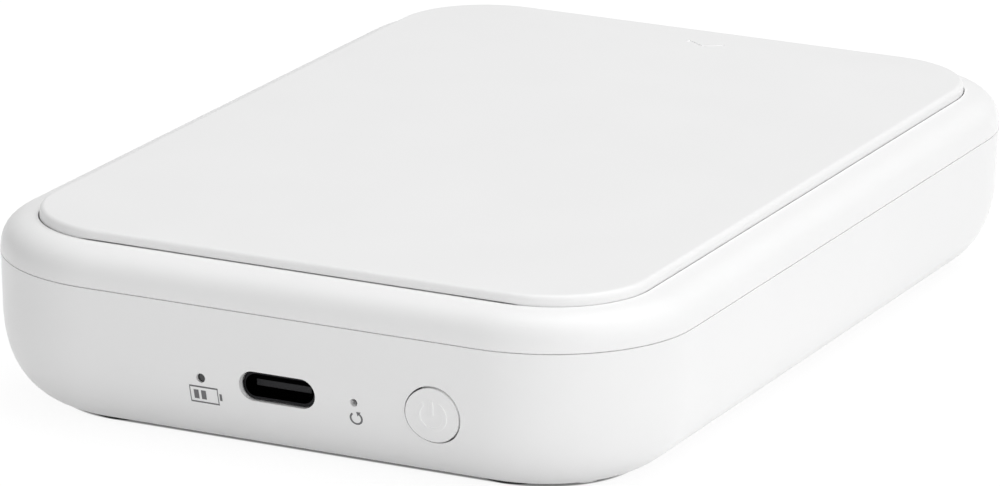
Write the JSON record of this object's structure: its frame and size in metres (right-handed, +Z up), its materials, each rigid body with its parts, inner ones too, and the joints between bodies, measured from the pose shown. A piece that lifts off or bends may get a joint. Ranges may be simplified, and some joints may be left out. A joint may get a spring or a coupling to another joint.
{
  "type": "compact photo printer",
  "caption": "Flat pocket photo printer with rounded white case, hinged cover over the paper bay, USB-C socket, power key and inner print mechanism.",
  "frame": {"origin": "centre of the box on the plane that the feet stand on", "axes": "+Y along the body from the port end to the paper exit, +Z up through the cover, +X across the short side"},
  "size_m": [0.083, 0.1213, 0.0223],
  "materials": {
    "white_plastic": "matte",
    "light_grey_plastic": "matte",
    "dark_plastic": "matte",
    "gear_plastic": "satin",
    "red_plastic": "matte",
    "board": "satin",
    "module_board": "satin",
    "flex_film": "gloss",
    "clear_grey": "gloss",
    "black_rubber": "matte",
    "steel": "satin",
    "dark_shell": "satin",
    "aluminium": "satin",
    "brass": "satin",
    "foil": "satin",
    "ceramic": "satin",
    "wire": "satin"
  },
  "bodies": {
    "case": {"bottom_case": "white_plastic", "top_case": "white_plastic", "rubber_feet": "black_rubber", "case_screws": "steel", "hinge_pins": "steel", "case_magnets": "steel", "paper_tray": "dark_plastic", "retard_pad": "black_rubber", "paper_sensor": "dark_plastic", "print_frame": "steel", "shaft_bushes": "gear_plastic", "head_springs": "steel", "head_flex": "flex_film", "motor": "steel", "gear_studs": "steel", "main_board": "board", "board_screws": "steel", "shield_can": "steel", "radio_module": "module_board", "board_chips": "dark_plastic", "usb_shell": "dark_shell", "usb_tongue": "dark_plastic", "charge_led": "gear_plastic", "light_pipe": "clear_grey", "power_switch": "dark_plastic", "reset_switch": "dark_plastic", "battery": "foil", "battery_lead": "wire", "motor_lead": "wire"},
    "cover": {"top_cover": "white_plastic", "cover_liner": "light_grey_plastic", "hinge_arms": "dark_plastic", "cover_screws": "steel", "cover_magnets": "steel", "press_springs": "steel"},
    "press_plate": {"press_plate": "light_grey_plastic"},
    "feed_roller": {"feed_shaft": "steel", "feed_tyres": "black_rubber", "feed_gear": "gear_plastic"},
    "platen_roller": {"platen_shaft": "steel", "platen_rubber": "black_rubber", "platen_gear": "gear_plastic"},
    "exit_roller": {"exit_shaft": "steel", "exit_tyres": "black_rubber", "exit_gear": "gear_plastic"},
    "pinch_roller": {"pinch_shaft": "steel", "pinch_wheels": "dark_plastic"},
    "head": {"thermal_head": "ceramic", "head_bracket": "aluminium"},
    "motor_rotor": {"motor_pinion": "brass"},
    "reduction": {"reduction_gear": "gear_plastic"},
    "idler_a": {"feed_idler_a": "gear_plastic"},
    "idler_b": {"feed_idler_b": "gear_plastic"},
    "idler_c": {"exit_idler": "gear_plastic"},
    "power_key": {"power_key": "white_plastic"},
    "power_plunger": {"power_plunger": "red_plastic"},
    "reset_plunger": {"reset_plunger": "red_plastic"}
  },
  "joints": [
    {"name": "cover_hinge", "type": "hinge", "parent": "case", "child": "cover", "pos_m": [0, -0.0578, 0.0184], "axis": [1, 0, 0], "range_deg": [0, 100]},
    {"name": "press_pivot", "type": "hinge", "parent": "cover", "child": "press_plate", "pos_m": [0, -0.012, 0.0185], "axis": [1, 0, 0], "range_deg": [0, 8], "stiffness_Nm_per_rad": 0.02, "springref_deg": -34.38, "deforming": ["press_springs"]},
    {"name": "platen_spin", "type": "hinge", "parent": "case", "child": "platen_roller", "pos_m": [0, 0.0435, 0.008], "axis": [1, 0, 0], "continuous": true},
    {"name": "motor_spin", "type": "hinge", "parent": "case", "child": "motor_rotor", "pos_m": [0, 0.033, 0.0062], "axis": [1, 0, 0], "continuous": true},
    {"name": "reduction_spin", "type": "hinge", "parent": "case", "child": "reduction", "pos_m": [0, 0.03722, 0.01153], "axis": [1, 0, 0], "continuous": true},
    {"name": "idler_a_spin", "type": "hinge", "parent": "case", "child": "idler_a", "pos_m": [0, 0.03234, 0.01331], "axis": [1, 0, 0], "continuous": true},
    {"name": "idler_b_spin", "type": "hinge", "parent": "case", "child": "idler_b", "pos_m": [0, 0.0296, 0.00842], "axis": [1, 0, 0], "continuous": true},
    {"name": "feed_spin", "type": "hinge", "parent": "case", "child": "feed_roller", "pos_m": [0, 0.022, 0.0085], "axis": [1, 0, 0], "continuous": true},
    {"name": "idler_c_spin", "type": "hinge", "parent": "case", "child": "idler_c", "pos_m": [0, 0.04851, 0.01317], "axis": [1, 0, 0], "continuous": true},
    {"name": "exit_spin", "type": "hinge", "parent": "case", "child": "exit_roller", "pos_m": [0, 0.0522, 0.0095], "axis": [1, 0, 0], "continuous": true},
    {"name": "pinch_spin", "type": "hinge", "parent": "case", "child": "pinch_roller", "pos_m": [0, 0.0522, 0.0141], "axis": [1, 0, 0], "continuous": true},
    {"name": "head_pivot", "type": "hinge", "parent": "case", "child": "head", "pos_m": [0, 0.0382, 0.015], "axis": [1, 0, 0], "range_deg": [0, 2.5], "stiffness_Nm_per_rad": 0.05, "springref_deg": -17.19, "deforming": ["head_springs"]},
    {"name": "key_press", "type": "slide", "parent": "case", "child": "power_key", "axis": [0, 1, 0], "range_m": [0, 0.0003], "stiffness_N_per_m": 1200, "springref_m": -0.0003},
    {"name": "plunger_press", "type": "slide", "parent": "case", "child": "power_plunger", "axis": [0, 1, 0], "range_m": [0, 0.0003]},
    {"name": "reset_press", "type": "slide", "parent": "case", "child": "reset_plunger", "axis": [0, 1, 0], "range_m": [0, 0.00025], "stiffness_N_per_m": 400, "springref_m": -0.0003}
  ],
  "couplings": [
    {"joint": "motor_spin", "follows": "platen_spin", "ratio": 3.6667},
    {"joint": "reduction_spin", "follows": "platen_spin", "ratio": -2},
    {"joint": "idler_a_spin", "follows": "platen_spin", "ratio": 1.7143},
    {"joint": "idler_b_spin", "follows": "platen_spin", "ratio": -1.7143},
    {"joint": "feed_spin", "follows": "platen_spin", "ratio": 1},
    {"joint": "idler_c_spin", "follows": "platen_spin", "ratio": -2},
    {"joint": "exit_spin", "follows": "platen_spin", "ratio": 1.7143},
    {"joint": "pinch_spin", "follows": "platen_spin", "ratio": -2.381},
    {"joint": "plunger_press", "follows": "key_press", "ratio": 1}
  ]
}
